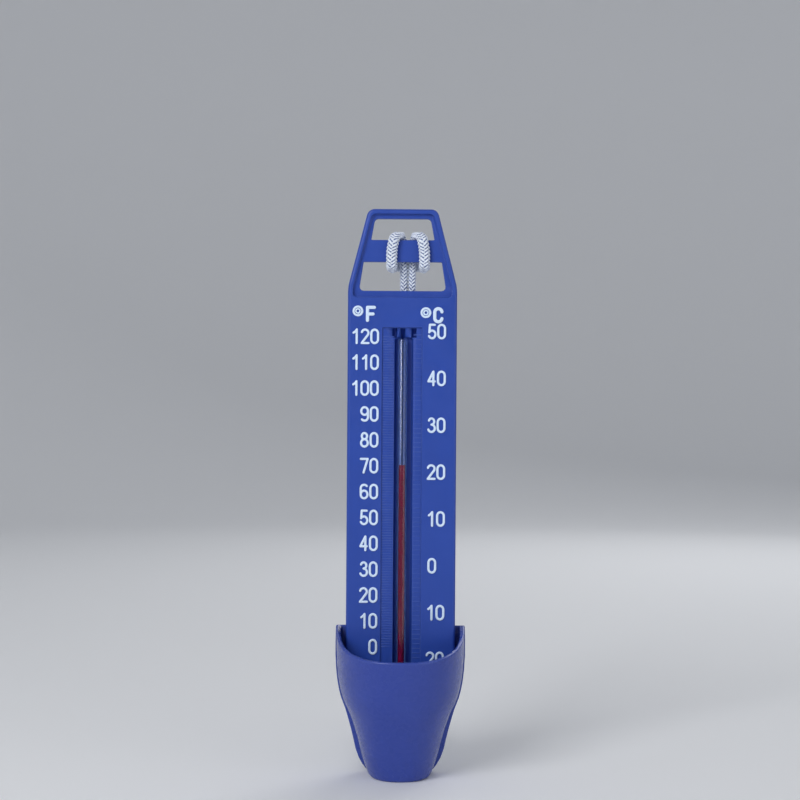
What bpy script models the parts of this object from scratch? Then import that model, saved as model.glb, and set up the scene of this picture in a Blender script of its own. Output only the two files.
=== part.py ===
"""Pool thermometer: a moulded scale plate and scoop cup, a spirit thermometer and a looped cord.

Metres, +Z up the scale, the dial side faces -Y. The part stands on the cup's flat bottom, with its
origin in the middle of the footprint of everything but the cord.
"""

import math

import bmesh
import bpy
from mathutils import Vector

MM = 0.001

# --- driving dimensions -------------------------------------------------------------------------
HEIGHT = 170 * MM
GAP = 0.3 * MM  # play between neighbouring pieces

# scale plate
PLATE_HALF = 16.45 * MM
HEAD_TOP_HALF = 10.4 * MM
SHOULDER_Z = 146.5 * MM
PLATE_TAPER_Z = 29 * MM  # below this the plate narrows to fit inside the cup
PLATE_FOOT_Z = 6 * MM
PLATE_FOOT_HALF = 7.5 * MM
FACE_Y = 10.5 * MM
WEB_BACK_Y = 13.6 * MM
RIM_BACK_Y = 15.5 * MM
RIM_WALL = 1.5 * MM
RIM_FOOT_Z = 45 * MM  # the plate's side walls end on top of the cup's back wall
EDGE_ROUND = 0.8 * MM

# head frame
PAN_FLOOR_Y = 11.7 * MM
PAN_FOOT_Z = 143.4 * MM
BAR_LOW_Z = 154.1 * MM
BAR_HIGH_Z = 160.75 * MM
UPPER_OPENING = ((8.4 * MM, 167.1 * MM), (9.55 * MM, BAR_HIGH_Z))  # half width, height: top, bottom
LOWER_OPENING = ((11.8 * MM, BAR_LOW_Z), (13.15 * MM, 145.4 * MM))

# channel and groove for the tube
CHANNEL_HALF = 6.0 * MM
CHANNEL_TOP_Z = 134.3 * MM
CHANNEL_FLOOR_Y = 11.1 * MM
GROOVE_X = 0.5 * MM
GROOVE_HALF = 2.8 * MM
GROOVE_FLOOR_Y = 12.8 * MM
FORK_LOW_Z = 131.3 * MM
FORK_SLOTS = ((-3.0, -1.5), (-0.5, 0.9), (2.8, 4.3))  # millimetres across, two fingers between them
FORK_FLOOR_Y = 13.2 * MM
BULB_WINDOW_HALF = 4.5 * MM
BULB_WINDOW_Z = (9 * MM, 32.6 * MM)
CROSS_RIBS_Z = (46.5 * MM, 78 * MM, 110 * MM, 142 * MM)
CROSS_RIB = 1.4 * MM

# snap nub on the plate's back and its window in the cup's back wall
NUB_HALF = 2.8 * MM
NUB_Z = (37.6 * MM, 39.8 * MM)
NUB_BACK_Y = 15.2 * MM

# scoop cup
CUP_WALL = 1.25 * MM
CUP_CENTRE_Y = 11.0 * MM
CUP_BACK_Y = 15.5 * MM
CUP_SIDE_RIM_Z = 44.2 * MM
CUP_FRONT_RIM_Z = 37.4 * MM
RIM_SWEEP = 1.4  # 1 drops the rim evenly from back to front, more drops it sooner
CUP_FLOOR_Z = 1.6 * MM
CUP_POWER = 2.25  # 2 is an ellipse, more is squarer
# (height, size) rows in millimetres: half width, depth ahead of the centre line, and how far the flat
# back panel stands out on each side
CUP_HALF = (
    (0, 9.2),
    (1.8, 9.95),
    (4.2, 10.8),
    (7.2, 11.7),
    (10.2, 12.4),
    (13.2, 13.25),
    (16.2, 14.2),
    (19.2, 15.3),
    (22.3, 16.8),
    (27, 18.15),
    (35, 19.05),
    (45, 19.2),
)
CUP_DEPTH = ((0, 12.0), (7, 15.0), (14, 17.8), (25, 22.2), (36, 26.0), (45, 27.8))
WING_OUT = (
    (0, 0.2),
    (1.5, 0.9),
    (3, 1.35),
    (5, 1.65),
    (7.2, 1.75),
    (10.2, 1.7),
    (13.2, 1.6),
    (16.2, 1.5),
    (19.2, 1.3),
    (22.3, 1.0),
    (27, 0.75),
    (35, 0.55),
    (45, 0.3),
)
WING_THICK = 1.6 * MM

# thermometer
TUBE_X = 0.15 * MM
TUBE_Y = 10.95 * MM
TUBE_R = 1.55 * MM
BORE_R = 0.75 * MM
TUBE_TOP_Z = 131.0 * MM
BULB_MID_Z = 19.4 * MM
BULB_HALF_HEIGHT = 7.3 * MM
BULB_R = 2.9 * MM
BULB_WALL = 0.6 * MM
NECK_Z = 28.2 * MM
COLUMN_R = 0.45 * MM
READING_Z = 92.9 * MM  # the meniscus at about 22 degrees Celsius
BUSH_Z = (28.8 * MM, 32.2 * MM)
BUSH_R = 2.8 * MM

# cord
CORD_D = 3.2 * MM
HITCH_X = 1.6 * MM
HANK_HALF = 9.5 * MM
HANK_Y = (24 * MM, 82 * MM)
HANK_Z = (0.9 * MM, 7.5 * MM)
HANK_CORNER = 6 * MM
TIE_Y = (49 * MM, 53 * MM)
TIE_WALL = 0.6 * MM
KNOT_MID = (-3.4 * MM, 70.5 * MM, 12.2 * MM)
KNOT_R = (4.3 * MM, 5.6 * MM, 4.4 * MM)

# One half of the hitch: across from its middle, back, up, in millimetres. It starts at the middle of
# the crosspiece, goes under the bar, up its front, over its top and down behind it.
HITCH = (
    (0.0, 19.6, 153.3),
    (2.3, 19.6, 153.3),
    (4.1, 18.2, 153.0),
    (5.0, 15.6, 152.3),
    (4.95, 12.4, 152.1),
    (4.95, 10.15, 152.8),
    (4.95, 9.5, 154.8),
    (4.85, 9.55, 157.6),
    (4.35, 9.5, 160.5),
    (3.75, 10.6, 162.65),
    (3.1, 13.0, 163.15),
    (2.45, 15.1, 162.2),
    (1.95, 15.8, 159.5),
    (1.75, 15.75, 155.3),
    (1.75, 15.75, 151.0),
    (1.75, 16.3, 147.0),
    (1.75, 17.5, 142.5),
)
HANG = ((1.75, 17.7, 130.0), (1.75, 17.8, 100.0), (1.75, 17.8, 70.0), (1.75, 17.8, 40.0))
# From the hang to the hank's near end, in millimetres from the origin: the right half lies on the
# surface and the left half lies on it.
RIGHT_FLOOR = (
    (3.1, 17.8, 22.0),
    (3.0, 17.9, 12.0),
    (1.6, 18.3, 5.2),
    (-2.4, 18.6, 2.5),
    (-6.2, 20.2, 2.5),
    (-7.8, 23.6, 2.5),
)
LEFT_FLOOR = (
    (-0.4, 17.8, 24.0),
    (-0.6, 17.9, 15.0),
    (-1.6, 18.2, 8.8),
    (-4.4, 18.9, 6.3),
    (-7.0, 20.9, 6.1),
    (-7.8, 23.6, 6.0),
)


# --- helpers ------------------------------------------------------------------------------------
def material(name, colour, roughness, metallic=0.0, transmission=0.0):
    made = bpy.data.materials.new(name)
    made.use_nodes = True
    shader = made.node_tree.nodes["Principled BSDF"]
    shader.inputs["Base Color"].default_value = (*colour, 1)
    shader.inputs["Roughness"].default_value = roughness
    shader.inputs["Metallic"].default_value = metallic
    shader.inputs["Transmission Weight"].default_value = transmission
    return made


def add(name, bm, finish):
    """A named object from a bmesh, with its normals facing out."""
    bmesh.ops.remove_doubles(bm, verts=bm.verts, dist=1e-6)
    bmesh.ops.recalc_face_normals(bm, faces=bm.faces)
    mesh = bpy.data.meshes.new(name)
    bm.to_mesh(mesh)
    bm.free()
    mesh.shade_smooth()
    mesh.set_sharp_from_angle(angle=math.radians(35))
    thing = bpy.data.objects.new(name, mesh)
    bpy.context.scene.collection.objects.link(thing)
    if finish:
        mesh.materials.append(finish)
    return thing


def cut(target, cutter, operation="DIFFERENCE"):
    """A Boolean of target by cutter, which is hidden."""
    cutter.hide_render = True
    cutter.display_type = "WIRE"
    boolean = target.modifiers.new(cutter.name, "BOOLEAN")
    boolean.operation = operation
    boolean.solver = "EXACT"
    boolean.object = cutter


def loft(rings):
    """A closed bmesh through rings of as many points each, capped at both ends."""
    bm = bmesh.new()
    rows = [[bm.verts.new(point) for point in ring] for ring in rings]
    count = len(rows[0])
    for low, high in zip(rows, rows[1:]):
        for i in range(count):
            j = (i + 1) % count
            bm.faces.new((low[i], low[j], high[j], high[i]))
    bm.faces.new(rows[0])
    bm.faces.new(rows[-1])
    return bm


def rounded(corners, steps=5):
    """An outline from (across, up, radius) corners, each one rounded by an arc."""
    outline = []
    count = len(corners)
    for i, (x, z, radius) in enumerate(corners):
        here = Vector((x, z))
        back = (Vector(corners[i - 1][:2]) - here).normalized()
        ahead = (Vector(corners[(i + 1) % count][:2]) - here).normalized()
        half = back.angle(ahead) / 2
        if radius <= 0 or half > math.radians(89):
            outline.append(here)
            continue
        middle = here + (back + ahead).normalized() * radius / math.sin(half)
        start = here + back * radius / math.tan(half) - middle
        end = here + ahead * radius / math.tan(half) - middle
        for k in range(steps + 1):
            outline.append(middle + start.slerp(end, k / steps).normalized() * radius)
    return outline


def grown(outline, by):
    """The outline moved outwards by a distance, corner by corner."""
    count = len(outline)
    area = sum(a.x * b.y - b.x * a.y for a, b in zip(outline, outline[1:] + outline[:1]))
    side = 1 if area > 0 else -1
    moved = []
    for i, here in enumerate(outline):
        before = (here - outline[i - 1]).normalized()
        after = (outline[(i + 1) % count] - here).normalized()
        first = Vector((before.y, -before.x)) * side
        second = Vector((after.y, -after.x)) * side
        both = (first + second).normalized()
        moved.append(here + both * by / max(0.5, both.dot(first)))
    return moved


def slab(outline, layers):
    """A solid from an (across, up) outline, with a ring at each (depth, growth) layer."""
    return loft([[(p.x, depth, p.y) for p in grown(outline, by)] for depth, by in layers])


def round_over(depth, radius, into, steps=3):
    """Layers of a rounded edge from the surface at depth, going into the material."""
    return [
        (
            depth + into * radius * (1 - math.cos(math.pi / 2 * k / steps)),
            radius * (1 - math.sin(math.pi / 2 * k / steps)),
        )
        for k in range(steps + 1)
    ]


def pocket(outline, front, floor, radius, into=1):
    """A cutter for a blind recess whose mouth edge is rounded over."""
    mouth = round_over(front, radius, into)
    return slab(outline, [(front - into * MM, radius), *mouth, (floor, 0)])


def through(outline, front, back, radius):
    """A cutter for a hole with both edges rounded over."""
    near = round_over(front, radius, 1)
    far = list(reversed(round_over(back, radius, -1)))
    return slab(outline, [(front - MM, radius), *near, *far, (back + MM, radius)])


def box_outline(low_x, high_x, low_z, high_z, radius=0.0):
    return rounded(
        [
            (low_x, low_z, radius),
            (high_x, low_z, radius),
            (high_x, high_z, radius),
            (low_x, high_z, radius),
        ],
        3,
    )


def along(table, value):
    """A smooth reading between the (place, size) rows of a table in millimetres, for a value in metres."""
    place = min(max(value / MM, table[0][0]), table[-1][0])
    slopes = [
        (high - low) / (b - a) for (a, low), (b, high) in zip(table, table[1:])
    ]
    bends = [slopes[0], *((p + q) / 2 if p * q > 0 else 0.0 for p, q in zip(slopes, slopes[1:])), slopes[-1]]
    for i, ((a, low), (b, high)) in enumerate(zip(table, table[1:])):
        if place <= b:
            break
    t = (place - a) / (b - a)
    rise = (b - a) * (t * (1 - t) ** 2 * bends[i] - t**2 * (1 - t) * bends[i + 1])
    return (low + (high - low) * t**2 * (3 - 2 * t) + rise) * MM


def turned(profile, x, y, segments):
    """A solid of revolution about an upright axis, from (radius, height) points."""
    bm = bmesh.new()
    verts = [bm.verts.new((x + radius, y, z)) for radius, z in profile]
    edges = [bm.edges.new(pair) for pair in zip(verts, verts[1:])]
    if profile[0][0] > 0:
        edges.append(bm.edges.new((verts[-1], verts[0])))
    bmesh.ops.spin(
        bm,
        geom=verts + edges,
        cent=(x, y, 0),
        axis=(0, 0, 1),
        angle=2 * math.pi,
        steps=segments,
        use_merge=True,
    )
    return bm


def smooth_route(points, spacing):
    """Even points along a smooth curve through the route's own points."""
    ends = [points[0] * 2 - points[1], *points, points[-1] * 2 - points[-2]]
    fine = []
    for before, a, b, after in zip(ends, ends[1:], ends[2:], ends[3:]):
        for k in range(24):
            t = k / 24
            fine.append(
                0.5
                * (
                    2 * a
                    + (b - before) * t
                    + (2 * before - 5 * a + 4 * b - after) * t**2
                    + (3 * a - before - 3 * b + after) * t**3
                )
            )
    fine.append(points[-1])
    length = sum((b - a).length for a, b in zip(fine, fine[1:]))
    count = max(2, round(length / spacing))
    even, walked, target = [fine[0]], 0.0, length / count
    for a, b in zip(fine, fine[1:]):
        step = (b - a).length
        while walked + step >= target * len(even) - 1e-12 and len(even) < count:
            even.append(a.lerp(b, (target * len(even) - walked) / step))
        walked += step
    even.append(fine[-1])
    return even


# --- the pieces ---------------------------------------------------------------------------------
def plate_outline():
    foot, wide = PLATE_FOOT_HALF, PLATE_HALF
    return rounded(
        [
            (foot, PLATE_FOOT_Z, 2 * MM),
            (wide, PLATE_TAPER_Z, 6 * MM),
            (wide, SHOULDER_Z, 14 * MM),
            (HEAD_TOP_HALF, HEIGHT, 2.4 * MM),
            (-HEAD_TOP_HALF, HEIGHT, 2.4 * MM),
            (-wide, SHOULDER_Z, 14 * MM),
            (-wide, PLATE_TAPER_Z, 6 * MM),
            (-foot, PLATE_FOOT_Z, 2 * MM),
        ]
    )


def head_outline(inset, foot_z, corner):
    """The head's trapezoid inside the rim wall, from foot_z up."""
    slope = (PLATE_HALF - HEAD_TOP_HALF) / (HEIGHT - SHOULDER_Z)
    slant = math.hypot(1, slope) * inset
    top = HEIGHT - inset
    at_top = HEAD_TOP_HALF + slope * inset - slant
    side = PLATE_HALF - inset
    knee = SHOULDER_Z - (slant - inset) / slope
    half = [(side, foot_z, corner), (side, knee, 12 * MM), (at_top, top, 1.6 * MM)]
    return rounded(half + [(-x, z, radius) for x, z, radius in reversed(half)], 4)


def opening_outline(rows, top_corner, foot_corner):
    (top, top_z), (foot, foot_z) = rows
    half = [(foot, foot_z, foot_corner), (top, top_z, top_corner)]
    return rounded(half + [(-x, z, radius) for x, z, radius in reversed(half)], 3)


def scale_plate(blue):
    front = [(depth, -by) for depth, by in round_over(FACE_Y, EDGE_ROUND, 1, 4)]
    back = [(RIM_BACK_Y - 0.3 * MM, 0), (RIM_BACK_Y, -0.3 * MM)]
    plate = add("scale_plate", slab(plate_outline(), [*front, *back]), blue)

    pan = head_outline(RIM_WALL, PAN_FOOT_Z, 1.4 * MM)
    cut(plate, add("pan", pocket(pan, FACE_Y, PAN_FLOOR_Y, 0.3 * MM), None))
    for name, rows, top, foot in (
        ("upper_opening", UPPER_OPENING, 1.2 * MM, 0.3 * MM),
        ("lower_opening", LOWER_OPENING, 0.3 * MM, 1.2 * MM),
    ):
        opening = opening_outline(rows, top, foot)
        cut(plate, add(name, through(opening, PAN_FLOOR_Y, WEB_BACK_Y, 0.25 * MM), None))

    channel = box_outline(-CHANNEL_HALF, CHANNEL_HALF, PLATE_FOOT_Z - 4 * MM, CHANNEL_TOP_Z, 0.4 * MM)
    cut(plate, add("channel", pocket(channel, FACE_Y, CHANNEL_FLOOR_Y, 0.25 * MM), None))
    left, right = GROOVE_X - GROOVE_HALF, GROOVE_X + GROOVE_HALF
    groove = box_outline(left, right, PLATE_FOOT_Z - 4.5 * MM, FORK_LOW_Z + 0.1 * MM, 0.9 * MM)
    layers = [(FACE_Y - MM, 0), (GROOVE_FLOOR_Y - 0.7 * MM, 0), (GROOVE_FLOOR_Y - 0.25 * MM, -0.15 * MM)]
    cut(plate, add("groove", slab(groove, [*layers, (GROOVE_FLOOR_Y, -0.6 * MM)]), None))
    for i, (low, high) in enumerate(FORK_SLOTS):
        slot = box_outline(low * MM, high * MM, FORK_LOW_Z, CHANNEL_TOP_Z - 0.15 * MM)
        cut(plate, add(f"fork_slot_{i}", slab(slot, [(FACE_Y - MM, 0), (FORK_FLOOR_Y, 0)]), None))
    window = box_outline(-BULB_WINDOW_HALF, BULB_WINDOW_HALF, *BULB_WINDOW_Z, 2 * MM)
    cut(plate, add("bulb_window", slab(window, [(FACE_Y - MM, 0), (RIM_BACK_Y + MM, 0)]), None))

    inner = PLATE_HALF - RIM_WALL
    rib = CROSS_RIB / 2
    for i, (low, high) in enumerate(zip(CROSS_RIBS_Z, CROSS_RIBS_Z[1:])):
        hollow = box_outline(-inner, inner, low + rib, high - rib, 1.2 * MM)
        cut(plate, add(f"back_hollow_{i}", pocket(hollow, RIM_BACK_Y, WEB_BACK_Y, 0.25 * MM, -1), None))
    head = head_outline(RIM_WALL, CROSS_RIBS_Z[-1] + rib, 1.2 * MM)
    cut(plate, add("head_hollow", pocket(head, RIM_BACK_Y, WEB_BACK_Y, 0.25 * MM, -1), None))
    foot = box_outline(-2 * PLATE_HALF, 2 * PLATE_HALF, -5 * MM, RIM_FOOT_Z)
    cut(plate, add("thin_foot", slab(foot, [(WEB_BACK_Y, 0), (RIM_BACK_Y + MM, 0)]), None))
    nub = box_outline(-NUB_HALF, NUB_HALF, *NUB_Z, 0.4 * MM)
    tip = [(WEB_BACK_Y - 0.2 * MM, 0), (NUB_BACK_Y - 0.5 * MM, 0), (NUB_BACK_Y, -0.4 * MM)]
    cut(plate, add("snap_nub", slab(nub, tip), None), "UNION")
    return plate


def cup_ring(share, inset, steps=24):
    """The cup's outline at a share of the way up to its sloping rim, inset from the outer skin."""
    half_turn = [math.pi * k / steps for k in range(steps + 1)]
    ring = []
    wing = inset == 0
    for angle in half_turn:
        across, ahead = math.cos(angle), math.sin(angle)
        across = math.copysign(abs(across) ** (2 / CUP_POWER), across)
        ahead = ahead ** (2 / CUP_POWER)
        drop = 1 - (1 - min(1, ahead)) ** RIM_SWEEP
        z = share * (CUP_SIDE_RIM_Z + (CUP_FRONT_RIM_Z - CUP_SIDE_RIM_Z) * drop)
        half = along(CUP_HALF, z) - inset
        depth = along(CUP_DEPTH, z) - inset
        ring.append((half * across, CUP_CENTRE_Y - depth * ahead, z))
    z = share * CUP_SIDE_RIM_Z
    half = along(CUP_HALF, z) - inset
    out = half + (along(WING_OUT, z) if wing else 0)
    back = CUP_BACK_Y - inset
    step = CUP_BACK_Y - WING_THICK
    if wing:
        wing_edge = [(half, step), (out, step + 0.15 * MM), (out, back - 0.3 * MM), (out - 0.3 * MM, back)]
        ring += [(-x, y, z) for x, y in wing_edge]
        ring += [(x, y, z) for x, y in reversed(wing_edge)]
    else:
        ring += [(-half, back - 0.6 * MM, z), (-half + 0.6 * MM, back, z)]
        ring += [(half - 0.6 * MM, back, z), (half, back - 0.6 * MM, z)]
    return ring


def shrunk(ring, by, rise=0.0):
    """A ring of points drawn in towards its middle line by a distance, and raised."""
    outline = grown([Vector((x, y)) for x, y, z in ring], -by)
    return [(p.x, p.y, z + rise) for p, (_, _, z) in zip(outline, ring)]


def scoop_cup(blue):
    levels = [0.018, 0.05, 0.1, 0.16, 0.22, 0.29, 0.35, 0.39, 0.43, 0.47, 0.51, 0.56, 0.62, 0.7, 0.8, 0.9]
    skin = [cup_ring(level, 0) for level in levels]
    foot = [(x, y, 0) for x, y, _ in shrunk(cup_ring(0.0, 0), 0.4 * MM)]
    heel = [(x, y, 0.25 * MM) for x, y, _ in shrunk(cup_ring(0.0, 0), 0.1 * MM)]
    top = cup_ring(1.0, 0)
    edge = [(0.0, -0.5), (0.03, -0.3), (0.12, -0.12), (0.25, -0.04), (0.45, 0.0)]
    rings = [foot, heel, *skin, *[shrunk(top, by * MM, rise * MM) for by, rise in edge]]
    cup = add("scoop_cup", loft(rings), blue)

    inside = [cup_ring(level, CUP_WALL) for level in levels[2:]]
    floor = [(x, y, CUP_FLOOR_Z) for x, y, _ in shrunk(cup_ring(0.04, CUP_WALL), 0.8 * MM)]
    knee = [(x, y, CUP_FLOOR_Z + 0.8 * MM) for x, y, _ in cup_ring(0.055, CUP_WALL)]
    mouth = cup_ring(1.0, CUP_WALL)
    lip = [shrunk(mouth, 0, -0.4 * MM), shrunk(mouth, -0.12 * MM, -0.1 * MM), shrunk(mouth, -0.4 * MM, 0)]
    above = [(x, y, z + 3 * MM) for x, y, z in lip[-1]]
    cut(cup, add("cup_inside", loft([floor, knee, *inside, *lip, above]), None))

    play = 2 * GAP
    window = box_outline(-NUB_HALF - play, NUB_HALF + play, NUB_Z[0] - play, NUB_Z[1] + play, 0.5 * MM)
    cut(cup, add("snap_window", slab(window, [(CUP_BACK_Y - 2 * CUP_WALL, 0), (CUP_BACK_Y + MM, 0)]), None))
    return cup


def glass_tube(glass):
    """The capillary with its bulb, blown as one piece."""
    outer, inner = [], []
    for k in range(9):
        angle = math.pi * (k / 8 - 0.5)
        outer.append((BULB_R * math.cos(angle), BULB_MID_Z + BULB_HALF_HEIGHT * math.sin(angle)))
    inner_r, inner_half = BULB_R - BULB_WALL, BULB_HALF_HEIGHT - BULB_WALL
    for k in range(9):
        angle = math.pi * (k / 8 - 0.5)
        inner.append((inner_r * math.cos(angle), BULB_MID_Z + inner_half * math.sin(angle)))
    outer = [(0.0, outer[0][1]), *[(r, z) for r, z in outer[1:-1] if r > TUBE_R or z < BULB_MID_Z]]
    inner = [(0.0, inner[0][1]), *[(r, z) for r, z in inner[1:-1] if r > BORE_R or z < BULB_MID_Z]]
    stem = [(TUBE_R, NECK_Z), (TUBE_R, TUBE_TOP_Z - 0.5 * MM), (TUBE_R - 0.35 * MM, TUBE_TOP_Z)]
    bore = [(BORE_R, TUBE_TOP_Z), (BORE_R, NECK_Z)]
    profile = outer + stem + bore + inner[::-1]
    bm = turned(profile, TUBE_X, TUBE_Y, 20)
    return add("glass_tube", bm, glass)


def bulb_spirit(red):
    """The spirit in the bulb, up to where the bore begins."""
    wide = BULB_R - BULB_WALL - GAP
    tall = BULB_HALF_HEIGHT - BULB_WALL - GAP
    points = []
    for k in range(9):
        angle = math.pi * (k / 8 - 0.5)
        points.append((max(0.0, wide * math.cos(angle)), BULB_MID_Z + tall * math.sin(angle)))
    points = [(0.0, points[0][1]), *[(r, z) for r, z in points[1:-1] if r > COLUMN_R or z < BULB_MID_Z]]
    points += [(COLUMN_R, NECK_Z), (0.0, NECK_Z)]
    return add("bulb_spirit", turned(points, TUBE_X, TUBE_Y, 16), red)


def spirit_column(red):
    foot = NECK_Z + GAP
    tip = READING_Z - 0.2 * MM
    points = [(0.0, foot), (COLUMN_R, foot), (COLUMN_R, tip), (COLUMN_R * 0.6, READING_Z), (0.0, READING_Z)]
    return add("spirit_column", turned(points, TUBE_X, TUBE_Y, 12), red)


def tube_bush(rubber):
    low, high = BUSH_Z
    inner = TUBE_R + GAP
    edge = 0.3 * MM
    points = [
        (inner, low),
        (BUSH_R - edge, low),
        (BUSH_R, low + edge),
        (BUSH_R, high - edge),
        (BUSH_R - edge, high),
        (inner, high),
    ]
    return add("tube_bush", turned(points, TUBE_X, TUBE_Y, 20), rubber)


def cord_half(name, side, floor, white):
    """One half of the cord, from the hitch's crosspiece to the hank."""
    hung = [Vector((HITCH_X + side * x * MM, y * MM, z * MM)) for x, y, z in HITCH + HANG]
    hung[0].x += side * GAP / 2
    laid = [Vector((x * MM, y * MM, z * MM)) for x, y, z in floor]
    split = len(HITCH)
    tight = smooth_route(hung[:split], 0.75 * CORD_D)
    loose = smooth_route([hung[split - 1], *hung[split:], *laid], 2 * CORD_D)
    points = tight + loose[1:]
    curve = bpy.data.curves.new(name, "CURVE")
    curve.dimensions = "3D"
    curve.bevel_depth = CORD_D / 2
    curve.bevel_resolution = 2
    curve.use_fill_caps = True
    spline = curve.splines.new("POLY")
    spline.points.add(len(points) - 1)
    for point, place in zip(spline.points, points):
        point.co = (*place, 1)
    thing = bpy.data.objects.new(name, curve)
    bpy.context.scene.collection.objects.link(thing)
    curve.materials.append(white)
    return thing


def cord_hank(white):
    """The folded length: an upright extrusion of an outline with round ends."""
    outline = box_outline(-HANK_HALF, HANK_HALF, *HANK_Y, HANK_CORNER)
    low, high = HANK_Z
    edge = 1.2 * MM
    layers = [(low, -edge), (low + edge, 0), (high - edge, 0), (high, -edge)]
    rings = [[(p.x, p.y, z) for p in grown(outline, by)] for z, by in layers]
    return add("cord_hank", loft(rings), white)


def hank_tie(red):
    """A flat band round the hank."""
    low, high = TIE_Y
    wall, play = TIE_WALL, GAP
    inner = box_outline(-HANK_HALF - play, HANK_HALF + play, HANK_Z[0] - play, HANK_Z[1] + play, 1.6 * MM)
    bm = bmesh.new()
    rings = []
    for outline, y in ((inner, low), (grown(inner, wall), low), (grown(inner, wall), high), (inner, high)):
        rings.append([bm.verts.new((p.x, y, p.y)) for p in outline])
    count = len(inner)
    for a, b in zip(rings, rings[1:] + rings[:1]):
        for i in range(count):
            j = (i + 1) % count
            bm.faces.new((a[i], a[j], b[j], b[i]))
    return add("hank_tie", bm, red)


def cord_knot(white):
    """The overhand knot that joins the two halves, lying on the hank."""
    bm = bmesh.new()
    bmesh.ops.create_uvsphere(bm, u_segments=16, v_segments=10, radius=1)
    for vert in bm.verts:
        vert.co = Vector([middle + size * place for middle, size, place in zip(KNOT_MID, KNOT_R, vert.co)])
    return add("cord_knot", bm, white)


def main():
    for thing in list(bpy.data.objects):
        bpy.data.objects.remove(thing)
    blue = material("moulded_blue", (0.035, 0.085, 0.42), 0.42)
    glass = material("clear_glass", (0.9, 0.93, 0.97), 0.05, transmission=0.9)
    red = material("red_spirit", (0.35, 0.01, 0.03), 0.2)
    rubber = material("grey_rubber", (0.2, 0.2, 0.22), 0.7)
    white = material("white_cord", (0.85, 0.85, 0.88), 0.75)
    band = material("tie_band", (0.75, 0.77, 0.8), 0.5)
    scale_plate(blue)
    scoop_cup(blue)
    glass_tube(glass)
    bulb_spirit(red)
    spirit_column(red)
    tube_bush(rubber)
    cord_half("cord_left", -1, LEFT_FLOOR, white)
    cord_half("cord_right", 1, RIGHT_FLOOR, white)
    cord_hank(white)
    hank_tie(band)
    cord_knot(white)


main()
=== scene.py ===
"""Looks of the pool thermometer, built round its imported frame: braided cord, moulded plastic,
raised numerals, glass and spirit. Metres, in the frame's own axes: +Z up the scale, dial to -Y.
"""

import math

import bmesh
import bpy
import numpy as np
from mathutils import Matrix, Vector


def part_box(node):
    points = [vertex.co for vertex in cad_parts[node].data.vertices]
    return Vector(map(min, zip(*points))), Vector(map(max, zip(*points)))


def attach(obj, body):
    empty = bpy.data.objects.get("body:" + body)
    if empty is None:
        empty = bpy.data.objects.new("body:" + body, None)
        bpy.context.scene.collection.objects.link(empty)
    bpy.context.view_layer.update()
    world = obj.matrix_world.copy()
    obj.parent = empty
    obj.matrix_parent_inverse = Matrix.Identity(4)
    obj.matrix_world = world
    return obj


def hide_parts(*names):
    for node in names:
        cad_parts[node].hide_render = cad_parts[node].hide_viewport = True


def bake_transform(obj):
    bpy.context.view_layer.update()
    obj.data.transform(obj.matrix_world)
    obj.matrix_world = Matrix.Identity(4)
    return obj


MM = 0.001
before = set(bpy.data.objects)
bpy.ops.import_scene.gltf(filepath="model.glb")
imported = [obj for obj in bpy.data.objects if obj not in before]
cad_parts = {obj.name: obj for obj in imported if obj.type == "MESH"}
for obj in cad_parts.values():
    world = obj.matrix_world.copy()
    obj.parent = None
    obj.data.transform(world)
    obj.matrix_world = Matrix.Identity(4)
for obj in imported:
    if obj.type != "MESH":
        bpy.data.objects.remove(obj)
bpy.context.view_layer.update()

# --- places read from the frame -----------------------------------------------------------------
TUBE_LOW, TUBE_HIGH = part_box("glass_tube")
HANK_LOW, HANK_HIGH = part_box("cord_hank")
TIE_LOW, TIE_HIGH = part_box("hank_tie")
KNOT_LOW, KNOT_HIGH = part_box("cord_knot")
COLUMN_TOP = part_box("spirit_column")[1].z
FACE_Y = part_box("scale_plate")[0].y  # the plane of the dial
BAR_Y = (FACE_Y + 1.2 * MM, FACE_Y + 3.1 * MM)  # the crossbar that the cord is hitched to
BAR_Z = (154.1 * MM, 160.75 * MM)
TUBE_X = (TUBE_LOW.x + TUBE_HIGH.x) / 2
TUBE_Y = (TUBE_LOW.y + TUBE_HIGH.y) / 2

# --- the cord's route, in millimetres -----------------------------------------------------------
CORD_D = 3.2 * MM
HITCH_X = 1.6  # the hitch's middle
# One half of the hitch: across from its middle, back, up. It starts at the middle of the crosspiece,
# goes under the bar, up its front, over its top and down behind it.
HITCH = (
    (0.0, 19.6, 153.3),
    (2.3, 19.6, 153.3),
    (4.1, 18.2, 153.0),
    (5.0, 15.6, 152.3),
    (4.95, 12.4, 152.1),
    (4.95, 10.15, 152.8),
    (4.95, 9.5, 154.8),
    (4.85, 9.55, 157.6),
    (4.35, 9.5, 160.5),
    (3.75, 10.6, 162.65),
    (3.1, 13.0, 163.15),
    (2.45, 15.1, 162.2),
    (1.95, 15.8, 159.5),
    (1.75, 15.75, 155.3),
    (1.75, 15.75, 151.0),
    (1.75, 16.3, 147.0),
    (1.75, 17.5, 142.5),
)
HANG = ((1.75, 17.7, 130.0), (1.75, 17.8, 100.0), (1.75, 17.8, 70.0), (1.75, 17.8, 40.0))
# From the hang to the hank, from the origin: the right half lies on the surface, the left half on it.
RIGHT_FLOOR = (
    (3.1, 17.8, 22.0),
    (3.0, 17.9, 12.0),
    (1.6, 18.3, 5.2),
    (-2.4, 18.6, 2.5),
    (-6.2, 20.2, 2.5),
    (-7.8, 23.6, 2.5),
)
LEFT_FLOOR = (
    (-0.4, 17.8, 24.0),
    (-0.6, 17.9, 15.0),
    (-1.6, 18.2, 8.8),
    (-4.4, 18.9, 6.3),
    (-7.0, 20.9, 6.1),
    (-7.8, 23.6, 6.0),
)
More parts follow.
